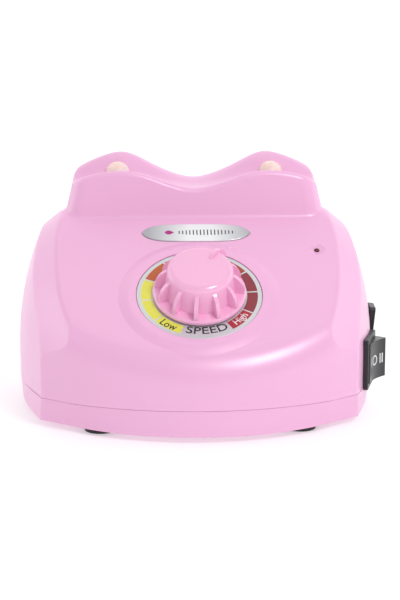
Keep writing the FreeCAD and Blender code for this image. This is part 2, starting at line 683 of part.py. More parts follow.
def power_rocker():
    """At rest the upper end is pressed and the lower end stands out."""
    form = rocker((POWER_L - BEZEL_RIM) / 2 - 0.25, POWER_W - BEZEL_RIM - 0.4, 3.2, POWER_TILT)
    form.rotate(V(0, 0, 0), UP, -90)
    return put(form, POWER_PLACE)


# ---------------------------------------------------------------- feet and screws

def foot(x, y):
    pad = rod(FOOT_R, FOOT_H, x, y)
    pad = pad.makeFillet(0.9, edges_where(pad, lambda c, e: c.z < 0.1 and e.Length > 10))
    return pad.cut(rod(3.5, 2.4, x, y, -0.1)).cut(rod(1.55, 5, x, y))


def pan_screw(x, y, head_low, head_h, head_r, shank_r, shank_top):
    head = rod(head_r, head_h, x, y, head_low)
    head = head.makeFillet(0.5, edges_where(head, lambda c, e: c.z < head_low + 0.1 and e.Length > 5))
    slots = [box(3.4, 0.8, 0.8, x, y, head_low - 0.01), box(0.8, 3.4, 0.8, x, y, head_low - 0.01)]
    shank = rod(shank_r, shank_top - head_low - head_h, x, y, head_low + head_h)
    return head.fuse(shank).cut(slots[0]).cut(slots[1])


def foot_screws():
    return Part.Compound([pan_screw(x, y, 0.6, 1.7, 3.0, 1.3, 10.5) for x, y in FEET])


def case_screws():
    return Part.Compound([pan_screw(x, y, 6.7, 2.3, 3.1, 1.25, 30.5) for x, y in CASE_SCREWS])


# ---------------------------------------------------------------- rear connectors

def mains_inlet():
    flange = box(50, 22.5, 2.6, radius=3)
    flange = flange.makeFillet(0.6, edges_where(flange, lambda c, e: c.z > 2.5))
    case = box(28.8, 20.3, 18, z=-18)
    form = flange.fuse(case).cut(box(24.6, 16.4, 20, z=-14, radius=2.5))
    for side in (-20.0, 20.0):
        form = form.cut(rod(1.7, 10, x=side, z=-1))
    return rear(form, INLET_X, INLET_Z)


def inlet_pins():
    pins = [box(2.0, 4.0, 16.5, x=x, y=y, z=-18 + 4) for x, y in ((-7, -2), (7, -2), (0, 2.2))]
    return rear(Part.Compound(pins), INLET_X, INLET_Z)


def inlet_screws():
    screws = []
    for side in (-20.0, 20.0):
        head = rod(2.9, 1.7, x=side, z=2.6)
        head = head.makeFillet(0.6, edges_where(head, lambda c, e: c.z > 4.2))
        head = head.cut(box(6.5, 0.8, 1, x=side, z=3.6))
        screws.append(head.fuse(rod(1.25, 10.6, x=side, z=-8)))
    return rear(Part.Compound(screws), INLET_X, INLET_Z)


FUSE_STEM_R = 4.5


def fuse_holder():
    form = rod(9.1, 1.8).fuse(rod(7.2, 32, z=-32))
    form = form.cut(rod(FUSE_STEM_R + RUNNING_GAP, 32, z=-29))
    tabs = [box(4.8, 0.8, 8, y=y, z=-38) for y in (-3, 3)]
    return rear(joined([form] + tabs), FUSE_X, FUSE_Z)


def fuse_cap():
    grip = rod(6.6, 5.5, z=1.9)
    grip = grip.makeFillet(0.8, edges_where(grip, lambda c, e: c.z > 7))
    for k in range(16):
        angle = k * math.pi / 8
        grip = grip.cut(rod(0.6, 7, x=6.75 * math.cos(angle), y=6.75 * math.sin(angle), z=1.5))
    grip = grip.cut(box(9, 1.4, 1.4, z=6.2))
    stem = rod(FUSE_STEM_R, 13.9, z=-12)
    return rear(grip.fuse(stem).cut(rod(2.6, 9, z=-12.1)), FUSE_X, FUSE_Z)


def fuse_link():
    glass = rod(2.4, 10, z=-20.2)
    ends = [rod(2.6, 5, z=-25.2), rod(2.6, 7, z=-10.2)]
    return rear(joined([glass] + ends), FUSE_X, FUSE_Z)


def jack(flange_r, body_r, bore_r, bore_depth, length):
    form = rod(flange_r, 1.8)
    form = form.makeFillet(0.5, edges_where(form, lambda c, e: c.z > 1.7))
    return form.fuse(rod(body_r, length, z=-length)).cut(rod(bore_r, bore_depth + 5, z=-bore_depth))


def handpiece_socket():
    form = jack(9.1, 8.0, 6.2, 9, 18)
    key = box(2.2, 1.6, 8.9, y=5.6, z=-9)
    return rear(form.fuse(key), HANDPIECE_X, HANDPIECE_Z)


def handpiece_pins():
    pins = [rod(0.75, 8, x=3.4 * math.cos(a), y=3.4 * math.sin(a), z=-9)
            for a in (math.radians(45 + 90 * k) for k in range(4))]
    return rear(Part.Compound(pins), HANDPIECE_X, HANDPIECE_Z)


def pedal_socket():
    return rear(jack(8.1, 5.0, 3.2, 14, 22), PEDAL_X, PEDAL_Z)


def jack_nut(across_flats, hole_r, behind, x, z):
    return rear(hexagon(across_flats, 2.4, z=-behind - 2.4).cut(rod(hole_r, 9, z=-10)), x, z)


# ---------------------------------------------------------------- power supply

def transformer_core():
    block = box(CORE_W, CORE_D, CORE_H, CORE_X, CORE_Y, CORE_Z)
    window = (CORE_W - 2 * LEG - 2 * LEG) / 2
    for side in (-1, 1):
        x = CORE_X + side * (LEG + window / 2)
        block = block.cut(box(window, CORE_D + 2, CORE_H - 2 * LEG, x, CORE_Y, CORE_Z + LEG))
    return block


def spool_ring(outer_l, outer_w, inner_l, inner_w, height, z, radius):
    outer = box(outer_l, outer_w, height, CORE_X, CORE_Y, z, radius)
    return outer.cut(box(inner_l, inner_w, height + 2, CORE_X, CORE_Y, z - 1))


COIL_L, COIL_W = CORE_W - 2 * LEG - 0.4, CORE_D + 15.0
SPOOL_L, SPOOL_W = 2 * LEG + 0.3, CORE_D + 0.3
SPOOL_LOW, SPOOL_HIGH = CORE_Z + LEG + 0.15, CORE_Z + CORE_H - LEG - 0.15


def transformer_bobbin():
    height = SPOOL_HIGH - SPOOL_LOW
    parts = [spool_ring(SPOOL_L + 2.4, SPOOL_W + 2.4, SPOOL_L, SPOOL_W, height, SPOOL_LOW, 0.5)]
    for z in (SPOOL_LOW, (SPOOL_LOW + SPOOL_HIGH) / 2 - 0.6, SPOOL_HIGH - 1.2):
        parts.append(spool_ring(COIL_L, COIL_W, SPOOL_L, SPOOL_W, 1.2, z, 2.0))
    return joined(parts)


def transformer_winding(z):
    height = (SPOOL_HIGH - SPOOL_LOW) / 2 - 1.2 - 0.6
    return spool_ring(COIL_L - 1.2, COIL_W - 1.2, SPOOL_L + 2.4, SPOOL_W + 2.4, height, z, 4.0)


STRAP_T, STRAP_W = 1.0, 12.0


def strap_holes():
    reach = CORE_W / 2 + 7.0
    return [CORE_X - reach, CORE_X + reach]


def transformer_strap():
    """Steel band over the core, with a screwed ear at each side."""
    half = CORE_W / 2 + 0.05
    top = CORE_Z + CORE_H + 0.05
    ear = half + 13
    steps = [(-ear, CORE_Z), (-half, CORE_Z), (-half, top), (half, top), (half, CORE_Z), (ear, CORE_Z),
             (ear, CORE_Z + STRAP_T), (half + STRAP_T, CORE_Z + STRAP_T),
             (half + STRAP_T, top + STRAP_T), (-half - STRAP_T, top + STRAP_T),
             (-half - STRAP_T, CORE_Z + STRAP_T), (-ear, CORE_Z + STRAP_T)]
    outline = [V(CORE_X + x, CORE_Y - STRAP_W / 2, z) for x, z in steps]
    band = prism(outline, [0] * 12, V(0, STRAP_W, 0))
    for x in strap_holes():
        band = band.cut(rod(1.8, 4, x, CORE_Y, CORE_Z - 1))
    return band


def top_screw(x, y, seat, head_r, shank_r, depth):
    head = rod(head_r, 1.8, x, y, seat)
    head = head.makeFillet(0.5, edges_where(head, lambda c, e: c.z > seat + 1.7))
    for length, width in ((head_r * 1.2, 0.7), (0.7, head_r * 1.2)):
        head = head.cut(box(length, width, 1, x, y, seat + 1.1))
    return head.fuse(rod(shank_r, depth, x, y, seat - depth))


def transformer_screws():
    return Part.Compound([top_screw(x, CORE_Y, CORE_Z + STRAP_T, 3.2, 1.3, 5.5) for x in strap_holes()])


def board_holes():
    a, b = BOARD_L / 2 - 4, BOARD_W / 2 - 4
    return [(BOARD_X + i * a, BOARD_Y + j * b) for i in (-1, 1) for j in (-1, 1)]


BOARD_TOP = BOARD_Z + BOARD_T


def control_board():
    board = box(BOARD_L, BOARD_W, BOARD_T, BOARD_X, BOARD_Y, BOARD_Z, 1.5)
    for x, y in board_holes():
        board = board.cut(rod(1.6, 5, x, y, BOARD_Z - 1))
    return board


def board_screws():
    return Part.Compound([top_screw(x, y, BOARD_TOP, 2.6, 1.1, 6.0) for x, y in board_holes()])


def smoothing_capacitors():
    cans = []
    for y in (BOARD_Y - 14, BOARD_Y + 5):
        can = rod(8, 26, BOARD_X - 20, y, BOARD_TOP)
        can = can.makeFillet(0.9, edges_where(can, lambda c, e: c.z > BOARD_TOP + 25))
        cans.append(can.cut(box(11, 0.6, 1, BOARD_X - 20, y, BOARD_TOP + 25.5)))
    return Part.Compound(cans)


def bridge_rectifier():
    block = box(5.2, 16, 12, BOARD_X - 6, BOARD_Y + 12, BOARD_TOP + 2, 0.5)
    legs = [box(0.8, 0.8, 3, BOARD_X - 6, BOARD_Y + 5.7 + k * 4.2, BOARD_TOP) for k in range(4)]
    return joined([block] + legs)


def heat_sink():
    base = box(26, 3, 24, BOARD_X + 14, BOARD_Y + 19, BOARD_TOP)
    fins = [box(1.4, 9, 24, BOARD_X + 2 + k * 4, BOARD_Y + 13.1, BOARD_TOP) for k in range(7)]
    return joined([base] + fins)


def power_transistor():
    case = box(10, 4.4, 15, BOARD_X + 14, BOARD_Y + 22.7, BOARD_TOP + 6)
    legs = [box(0.8, 0.6, 6.5, BOARD_X + 14 + k * 2.5, BOARD_Y + 23, BOARD_TOP) for k in (-1, 0, 1)]
    return joined([case] + legs)


def relay():
    return box(19, 15.5, 15, BOARD_X + 4, BOARD_Y - 14, BOARD_TOP, 0.6)


def terminal_block():
    block = box(10, 25, 10, BOARD_X + 24, BOARD_Y - 8, BOARD_TOP)
    for k in range(5):
        y = BOARD_Y - 18 + k * 5
        block = block.cut(rod(1.8, 3, BOARD_X + 24, y, BOARD_TOP + 8))
        block = block.cut(box(4, 3.2, 4, BOARD_X + 29, y, BOARD_TOP + 2))
    return block


def rating_plate():
    """Blank plate let into the underside."""
    return box(52, 24, 0.6, 0, 96, BASE_Z - 0.35, 2.0)


# ---------------------------------------------------------------- nodes

def nodes():
    parts = {
        "upper_shell": upper_shell(),
        "base_pan": base_pan().cut(rating_plate()),
        "dial_plate": dial_plate(),
        "badge_plate": badge_plate(),
        "speed_knob": speed_knob(),
        "knob_set_screw": knob_set_screw(),
        "pot_body": pot_body(),
        "pot_shaft": pot_shaft(),
        "pot_washer": pot_washer(),
        "pot_nut": pot_nut(),
        "indicator_led": indicator_led(),
        "led_holder": led_holder(),
        "cradle_pad_left": cradle_pad(-PAD_X),
        "cradle_pad_right": cradle_pad(PAD_X),
        "direction_switch_body": direction_switch_body(),
        "direction_rocker": direction_rocker(),
        "power_switch_body": power_switch_body(),
        "power_rocker": power_rocker(),
        "foot_screws": foot_screws(),
        "case_screws": case_screws(),
        "mains_inlet": mains_inlet(),
        "inlet_pins": inlet_pins(),
        "inlet_screws": inlet_screws(),
        "fuse_holder": fuse_holder(),
        "fuse_cap": fuse_cap(),
        "fuse_link": fuse_link(),
        "handpiece_socket": handpiece_socket(),
        "handpiece_pins": handpiece_pins(),
        "handpiece_nut": jack_nut(20.0, 8.05, 2.9, HANDPIECE_X, HANDPIECE_Z),
        "pedal_socket": pedal_socket(),
        "pedal_nut": jack_nut(14.0, 5.05, 1.6, PEDAL_X, PEDAL_Z),
        "transformer_core": transformer_core(),
        "transformer_bobbin": transformer_bobbin(),
        "primary_winding": transformer_winding(SPOOL_LOW + 1.2),
        "secondary_winding": transformer_winding((SPOOL_LOW + SPOOL_HIGH) / 2 + 0.6),
        "transformer_strap": transformer_strap(),
        "transformer_screws": transformer_screws(),
        "control_board": control_board(),
        "board_screws": board_screws(),
        "smoothing_capacitors": smoothing_capacitors(),
        "bridge_rectifier": bridge_rectifier(),
        "heat_sink": heat_sink(),
        "power_transistor": power_transistor(),
        "relay": relay(),
        "terminal_block": terminal_block(),
        "rating_plate": rating_plate(),
    }
    names = ("foot_front_left", "foot_front_right", "foot_rear_left", "foot_rear_right")
    for name, (x, y) in zip(names, FEET):
        parts[name] = foot(x, y)
    return parts


def centring_move(shapes):
    """The shift that brings the footprint's middle to the origin."""
    whole = FreeCAD.BoundBox()
    for shape in shapes:
        for point in shape.tessellate(0.1)[0]:
            whole.add(point)
    return V(-whole.Center.x, -whole.Center.y, 0)


def main():
    os.makedirs("parts", exist_ok=True)
    made = nodes()
    move = centring_move(made.values())
    for name, shape in made.items():
        shape.translate(move)
        shape.exportStep(f"parts/{name}.step")
        print(name, shape.ShapeType, len(shape.Solids), shape.isValid(), round(shape.Volume / 1000, 2))
    print("move", move)


if __name__ == "__main__":
    main()
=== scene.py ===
"""Looks of the electric nail drill's control box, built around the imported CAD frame.

Materials, dial print, badge ornament, switch marks, soft studio light and camera.
Lengths are in metres and angles in degrees, unless a name or comment says otherwise.
"""

import json
import math

import bpy
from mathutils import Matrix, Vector
from mathutils.bvhtree import BVHTree


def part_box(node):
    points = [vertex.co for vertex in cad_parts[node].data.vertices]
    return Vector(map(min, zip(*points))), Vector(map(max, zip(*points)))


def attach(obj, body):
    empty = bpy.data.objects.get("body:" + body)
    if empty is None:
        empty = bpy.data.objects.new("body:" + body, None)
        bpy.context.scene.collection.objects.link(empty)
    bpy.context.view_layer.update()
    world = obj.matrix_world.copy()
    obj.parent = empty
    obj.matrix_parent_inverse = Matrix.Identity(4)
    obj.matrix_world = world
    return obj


MM = 0.001
PRINT_T = 0.03 * MM                     # thickness of ink on the dial, the badge and the rockers
COLOUR_FEATURES = 45.0                  # patches of tone per metre on moulded plastic
GLOSS_FEATURES = 160.0                  # patches of gloss per metre on moulded plastic

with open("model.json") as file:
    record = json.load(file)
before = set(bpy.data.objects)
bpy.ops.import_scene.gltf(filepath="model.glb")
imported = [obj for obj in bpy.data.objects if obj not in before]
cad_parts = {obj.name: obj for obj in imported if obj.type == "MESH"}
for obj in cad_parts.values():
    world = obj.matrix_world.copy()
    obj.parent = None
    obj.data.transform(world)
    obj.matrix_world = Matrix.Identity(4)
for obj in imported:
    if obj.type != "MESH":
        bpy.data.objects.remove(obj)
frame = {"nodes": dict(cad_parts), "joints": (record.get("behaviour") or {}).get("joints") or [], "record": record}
NODES = frame["nodes"]
JOINTS = {joint["name"]: joint for joint in frame["joints"]}
SLOTS = {row["node"]: row["material_slot"] for row in frame["record"]["subparts"]}
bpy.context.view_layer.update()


# ---------------------------------------------------------------- colour and node helpers

def linear(red, green, blue):
    """Scene-linear colour with alpha from 0 to 255 display values."""
    def decode(value):
        value /= 255
        return value / 12.92 if value <= 0.04045 else ((value + 0.055) / 1.055) ** 2.4
    return (decode(red), decode(green), decode(blue), 1.0)


def new_material(name, roughness, metallic=0.0, **sockets):
    """A Principled material and its node tree; further sockets are given by their names."""
    material = bpy.data.materials.new(name)
    material.use_nodes = True
    shader = material.node_tree.nodes["Principled BSDF"]
    shader.inputs["Roughness"].default_value = roughness
    shader.inputs["Metallic"].default_value = metallic
    for socket, value in sockets.items():
        shader.inputs[socket.replace("_", " ")].default_value = value
    return material


def add_node(material, kind, **inputs):
    node = material.node_tree.nodes.new(kind)
    for socket, value in inputs.items():
        node.inputs[socket.replace("_", " ")].default_value = value
    return node


def link(material, output, target):
    material.node_tree.links.new(output, target)


def noise(material, scale, detail=3.0, roughness=0.5, stretch=(1, 1, 1)):
    """Noise in the object's own coordinates; scale is in features per metre."""
    place = add_node(material, "ShaderNodeTexCoord")
    mapping = add_node(material, "ShaderNodeMapping", Scale=stretch)
    texture = add_node(material, "ShaderNodeTexNoise", Scale=scale, Detail=detail,
                       Roughness=roughness)
    link(material, place.outputs["Object"], mapping.inputs["Vector"])
    link(material, mapping.outputs["Vector"], texture.inputs["Vector"])
    return texture.outputs["Fac"]


def ramp(material, factor, stops):
    """Maps a factor to colours; stops are (position, colour)."""
    node = add_node(material, "ShaderNodeValToRGB")
    elements = node.color_ramp.elements
    for index, (position, colour) in enumerate(stops):
        element = elements[index] if index < len(elements) else elements.new(position)
        element.position = position
        element.color = colour
    link(material, factor, node.inputs["Fac"])
    return node.outputs["Color"]


def shader_of(material):
    return material.node_tree.nodes["Principled BSDF"]


def shade(colour, factor):
    return tuple(min(1.0, c * factor) for c in colour[:3]) + (1.0,)


def mottle(material, colour, scale, amount):
    """Gives the base colour a faint uneven tone."""
    tone = ramp(material, noise(material, scale), [(0.3, shade(colour, 1 - amount)),
                                                   (0.7, shade(colour, 1 + amount))])
    link(material, tone, shader_of(material).inputs["Base Color"])


def bump(material, height, strength, distance):
    node = add_node(material, "ShaderNodeBump", Strength=strength, Distance=distance)
    link(material, height, node.inputs["Height"])
    link(material, node.outputs["Normal"], shader_of(material).inputs["Normal"])


def vary_roughness(material, scale, low, high, stretch=(1, 1, 1)):
    spread = add_node(material, "ShaderNodeMapRange", To_Min=low, To_Max=high)
    link(material, noise(material, scale, stretch=stretch), spread.inputs["Value"])
    link(material, spread.outputs["Result"], shader_of(material).inputs["Roughness"])


def moulded(name, colour, roughness, grain, mottling=0.02, grain_scale=2600.0, **sockets):
    """Moulded plastic: a fine spark-eroded grain, faintly uneven gloss and colour."""
    material = new_material(name, roughness, **sockets)
    mottle(material, colour, COLOUR_FEATURES, mottling)
    bump(material, noise(material, grain_scale, detail=1.5), grain, 0.02 * MM)
    vary_roughness(material, GLOSS_FEATURES, roughness - 0.04, roughness + 0.04)
    return material


def metal(name, colour, roughness, stretch=(1, 1, 1), scale=900.0, depth=0.12):
    """Plated, brushed or cast metal; the stretch turns the noise into brush lines."""
    material = new_material(name, roughness, metallic=1.0)
    mottle(material, colour, 120.0, 0.05)
    bump(material, noise(material, scale, stretch=stretch), depth, 0.02 * MM)
    vary_roughness(material, 300.0, roughness - 0.08, roughness + 0.08, stretch)
    return material


def ink(name, colour, roughness=0.42):
    """Screen-printed ink: nearly flat colour with a slight pinhole texture."""
    material = new_material(name, roughness)
    mottle(material, colour, 700.0, 0.035)
    bump(material, noise(material, 4200.0), 0.06, 0.01 * MM)
    return material


# ---------------------------------------------------------------- materials of the record's slots

PINK = linear(238, 177, 217)
KNOB_PINK = linear(243, 179, 215)


def winding_material():
    """Varnished copper wire lying in layers: fine rings around the core's middle limb."""
    material = new_material("winding", 0.32, metallic=0.85, Coat_Weight=0.4)
    mottle(material, linear(176, 96, 48), 220.0, 0.12)
    place = add_node(material, "ShaderNodeTexCoord")
    wires = add_node(material, "ShaderNodeTexWave", Scale=420.0, Distortion=0.4, Detail=1.0)
    wires.bands_direction = "Z"
    link(material, place.outputs["Object"], wires.inputs["Vector"])
    bump(material, wires.outputs["Fac"], 0.7, 0.25 * MM)
    return material


def lamination_material():
    """Edges of the core's stacked sheets, under varnish."""
    material = new_material("core_steel", 0.45, metallic=0.7, Coat_Weight=0.25)
    mottle(material, linear(92, 90, 94), 150.0, 0.15)
    place = add_node(material, "ShaderNodeTexCoord")
    sheets = add_node(material, "ShaderNodeTexWave", Scale=620.0, Distortion=0.15)
    sheets.bands_direction = "Y"
    link(material, place.outputs["Object"], sheets.inputs["Vector"])
    bump(material, sheets.outputs["Fac"], 0.6, 0.15 * MM)
    return material


def board_material():
    """Green solder mask with paler copper tracks showing through."""
    material = new_material("board", 0.30, Coat_Weight=0.3)
    place = add_node(material, "ShaderNodeTexCoord")
    cells = add_node(material, "ShaderNodeTexVoronoi", Scale=190.0)
    cells.distance = "CHEBYCHEV"
    link(material, place.outputs["Object"], cells.inputs["Vector"])
    tracks = ramp(material, cells.outputs["Distance"], [(0.42, linear(20, 84, 44)),
                                                        (0.50, linear(44, 122, 66))])
    link(material, tracks, shader_of(material).inputs["Base Color"])
    bump(material, cells.outputs["Distance"], 0.25, 0.05 * MM)
    return material


def dial_material():
    """Silver film: fine metallic sparkle under a matt varnish."""
    material = new_material("dial_face", 0.42, metallic=0.55)
    mottle(material, linear(212, 216, 217), 1800.0, 0.04)
    bump(material, noise(material, 3600.0), 0.10, 0.01 * MM)
    return material


def badge_material():
    """Satin plate, brushed along its length; painted shade darkens its tone from the middle to the tips."""
    material = new_material("badge", 0.3, metallic=0.75)
    place = add_node(material, "ShaderNodeTexCoord")
    axes = add_node(material, "ShaderNodeSeparateXYZ")
    distance = add_node(material, "ShaderNodeMath")
    distance.operation = "ABSOLUTE"
    low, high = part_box("badge_plate")
    share = add_node(material, "ShaderNodeMapRange", From_Min=0.0, From_Max=(high.x - low.x) / 2)
    link(material, place.outputs["Object"], axes.inputs["Vector"])
    link(material, axes.outputs["X"], distance.inputs[0])
    link(material, distance.outputs["Value"], share.inputs["Value"])
    # painted shade: the plate is bright in the middle and darker towards the tips
    tone = ramp(material, share.outputs["Result"], [(0.20, linear(240, 243, 243)),
                                                    (0.98, linear(176, 180, 183))])
    link(material, tone, shader_of(material).inputs["Base Color"])
    bump(material, noise(material, 500.0, stretch=(0.08, 1, 1)), 0.05, 0.02 * MM)
    vary_roughness(material, 300.0, 0.24, 0.36, (0.08, 1, 1))
    return material


def pad_material():
    """Milky silicone dome: light passes into it."""
    material = new_material("soft_pad", 0.38, Subsurface_Weight=0.55, Subsurface_Scale=4 * MM)
    mottle(material, linear(243, 219, 213), 200.0, 0.03)
    bump(material, noise(material, 1500.0), 0.10, 0.02 * MM)
    return material


def glass_material():
    material = new_material("fuse_glass", 0.06, Transmission_Weight=0.9, IOR=1.5)
    mottle(material, linear(226, 236, 236), 90.0, 0.02)
    bump(material, noise(material, 300.0), 0.05, 0.01 * MM)
    return material


def lamp_material():
    material = new_material("lamp", 0.15, Transmission_Weight=0.3, Coat_Weight=0.5)
    mottle(material, linear(110, 14, 24), 600.0, 0.15)
    bump(material, noise(material, 900.0), 0.05, 0.01 * MM)
    return material


MATERIALS = {
    "housing": moulded("housing", PINK, 0.32, 0.26, 0.006, Specular_IOR_Level=0.95),
    "base": moulded("base", PINK, 0.32, 0.26, 0.006, Specular_IOR_Level=0.95),
    "knob": moulded("knob", KNOB_PINK, 0.17, 0.06, 0.010, Specular_IOR_Level=0.75),
    "dial_face": dial_material(),
    "badge": badge_material(),
    "dark_steel": metal("dark_steel", linear(70, 70, 72), 0.4),
    "plated_steel": metal("plated_steel", linear(205, 204, 198), 0.3),
    "lamp": lamp_material(),
    "black_plastic": moulded("black_plastic", linear(42, 42, 45), 0.48, 0.3),
    "soft_pad": pad_material(),
    "switch_case": moulded("switch_case", linear(27, 26, 29), 0.40, 0.25),
    "rocker": moulded("rocker", linear(31, 30, 34), 0.30, 0.10),
    "screw_steel": metal("screw_steel", linear(198, 198, 196), 0.28),
    "inlet_plastic": moulded("inlet_plastic", linear(46, 46, 49), 0.45, 0.25),
    "pin_metal": metal("pin_metal", linear(222, 206, 166), 0.22),
    "fuse_plastic": moulded("fuse_plastic", linear(40, 40, 42), 0.32, 0.15),
    "fuse_glass": glass_material(),
    "socket_metal": metal("socket_metal", linear(216, 217, 220), 0.16),
    "core_steel": lamination_material(),
    "bobbin": moulded("bobbin", linear(226, 220, 200), 0.45, 0.2),
    "winding": winding_material(),
    "board": board_material(),
    "capacitor": moulded("capacitor", linear(38, 48, 88), 0.28, 0.06),
    "sink": metal("sink", linear(150, 151, 153), 0.38, (1, 1, 0.05)),
    "relay": moulded("relay", linear(34, 96, 178), 0.32, 0.08),
    "terminal": moulded("terminal", linear(40, 142, 84), 0.42, 0.15),
    "label_metal": metal("label_metal", linear(214, 215, 217), 0.3, (0.05, 1, 1)),
    "foot_rubber": moulded("foot_rubber", linear(50, 49, 49), 0.75, 0.5, 0.06, 1500.0),
}


def dress_cad_nodes():
    for name, node in NODES.items():
        node.data.materials.clear()
        node.data.materials.append(MATERIALS[SLOTS[name]])


# ---------------------------------------------------------------- the panel's own frame

DIAL = JOINTS["knob_turn"]
DIAL_CENTRE, NORMAL = Vector(DIAL["pos_m"]), Vector(DIAL["axis"]).normalized()
ACROSS = Vector((1, 0, 0))
UPSLOPE = NORMAL.cross(ACROSS)


def in_panel(point):
    """(across, up the slope, outward) of a point, from the dial's centre."""
    away = Vector(point) - DIAL_CENTRE
    return Vector((away.dot(ACROSS), away.dot(UPSLOPE), away.dot(NORMAL)))


def from_panel(u, v, w):
    return DIAL_CENTRE + ACROSS * u + UPSLOPE * v + NORMAL * w


def panel_extent(node):
    """Lowest and highest corners of a CAD node, measured in the panel's frame."""
    places = [in_panel(vertex.co) for vertex in NODES[node].data.vertices]
    low = Vector(min(p[k] for p in places) for k in range(3))
    high = Vector(max(p[k] for p in places) for k in range(3))
    return low, high


def clock_point(radius, angle):
    """Point on the dial, at an angle clockwise from straight up the slope."""
    turn = math.radians(angle)
    return radius * math.sin(turn), radius * math.cos(turn)


def plate_mesh(name, outlines, lift, to_space, material, body="housing"):
    """Thin solid sheets on a surface: each outline is a strip of (u, v) point pairs."""
    vertices, faces = [], []
    for strip in outlines:
        first = len(vertices)
        for inner, outer in strip:
            for u, v in (inner, outer):
                vertices += [to_space(u, v, lift), to_space(u, v, lift + PRINT_T)]
        for k in range(len(strip) - 1):
            a, b = first + 4 * k, first + 4 * (k + 1)
            faces += [(a + 1, b + 1, b + 3, a + 3), (a, a + 2, b + 2, b), (a, b, b + 1, a + 1),
                      (a + 2, a + 3, b + 3, b + 2)]
        end = first + 4 * (len(strip) - 1)
        faces += [(first, first + 1, first + 3, first + 2), (end, end + 2, end + 3, end + 1)]
    mesh = bpy.data.meshes.new(name)
    mesh.from_pydata(vertices, [], faces)
    mesh.validate()
    piece = bpy.data.objects.new(name, mesh)
    bpy.context.scene.collection.objects.link(piece)
    return finish_piece(piece, material, body)


def finish_piece(piece, material, body):
    piece.data.materials.clear()
    piece.data.materials.append(material)
    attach(piece, body)
    return piece


STROKE_GAIN = 0.008                     # thickens each letter's strokes, as a share of its size


def glyph_mesh(name, text):
    """The letters of a generic legend as a flat mesh, centred, one unit wide and high."""
    curve = bpy.data.curves.new(name, "FONT")
    curve.body = text
    curve.fill_mode = "FRONT"
    curve.offset = STROKE_GAIN
    curve.resolution_u = 5
    helper = bpy.data.objects.new(name, curve)
    bpy.context.scene.collection.objects.link(helper)
    bpy.context.view_layer.update()
    mesh = bpy.data.meshes.new_from_object(helper)
    bpy.data.objects.remove(helper)
    xs = [vertex.co.x for vertex in mesh.vertices]
    ys = [vertex.co.y for vertex in mesh.vertices]
    middle, low, height = (min(xs) + max(xs)) / 2, min(ys), max(ys) - min(ys)
    for vertex in mesh.vertices:
        vertex.co.x = (vertex.co.x - middle) / (max(xs) - min(xs))
        vertex.co.y = (vertex.co.y - low) / height
    return mesh


def legend(name, text, width, height, baseline, angle, lift, material):
    """Text bent along the dial's lower half, its feet outward; the angle is as in clock_point."""
    mesh = glyph_mesh(name, text)
    middle_radius = baseline - height / 2
    for vertex in mesh.vertices:
        along, up = vertex.co.x * width, vertex.co.y * height
        turn = angle - math.degrees(along / middle_radius)
        u, v = clock_point(baseline - up, turn)
        vertex.co = from_panel(u, v, lift)
    piece = bpy.data.objects.new(name, mesh)
    bpy.context.scene.collection.objects.link(piece)
    solid = piece.modifiers.new("thickness", "SOLIDIFY")
    solid.thickness = PRINT_T
    solid.offset = 0
    return finish_piece(piece, material, "housing")


# ---------------------------------------------------------------- dial print

BAND_INNER, BAND_OUTER = 0.76, 0.93     # of the dial's radius
BAND_START, BAND_END, BAND_GAP = 200.0, 508.5, 1.7      # clockwise from straight up the slope
BLOCK_STEPS = 14
BLOCK_COLOURS = {"yellow": (224, 223, 84), "amber": (186, 92, 42), "rust": (164, 66, 50),
                 "crimson": (138, 44, 56), "red": (174, 42, 56)}
BLOCKS = ["yellow"] * 3 + ["amber"] * 2 + ["rust"] * 2 + ["crimson"] * 2 + ["red"]


def dial_print():
    """Ten coloured blocks from slow to fast, and the words around the dial's lower edge."""
    low, high = panel_extent("dial_plate")
    radius, top = (high.x - low.x) / 2, high.z
    pitch = (BAND_END - BAND_START) / len(BLOCKS)
    inks = {name: ink("ink_" + name, linear(*rgb)) for name, rgb in BLOCK_COLOURS.items()}
    for index, name in enumerate(BLOCKS):
        start = BAND_START + index * pitch + BAND_GAP / 2
        strip = []
        for k in range(BLOCK_STEPS + 1):
            angle = start + (pitch - BAND_GAP) * k / BLOCK_STEPS
            strip.append((clock_point(BAND_INNER * radius, angle),
                          clock_point(BAND_OUTER * radius, angle)))
        plate_mesh(f"dial_block_{index + 1}", [strip], top, from_panel, inks[name])
    black, white = ink("ink_black", linear(36, 34, 40)), ink("ink_white", linear(240, 236, 236))
    over = top + 1.6 * PRINT_T
    legend("legend_low", "Low", 8.2 * MM, 4.2 * MM, 0.92 * radius, 216.2, over, black)
    legend("legend_high", "High", 8.2 * MM, 4.6 * MM, 0.93 * radius, 132.0, over, white)
    legend("legend_speed", "SPEED", 19.4 * MM, 4.5 * MM, 0.895 * radius, 173.5, over, black)


# ---------------------------------------------------------------- badge ornament

DROP_U, DROP_LENGTH, DROP_HALF = -13.2 * MM, 4.6 * MM, 1.9 * MM
DROP_STEPS = 24
BAR_COUNT, FIRST_BAR_U, BAR_PITCH, BAR_WIDTH = 16, -8.6 * MM, 1.75 * MM, 0.55 * MM


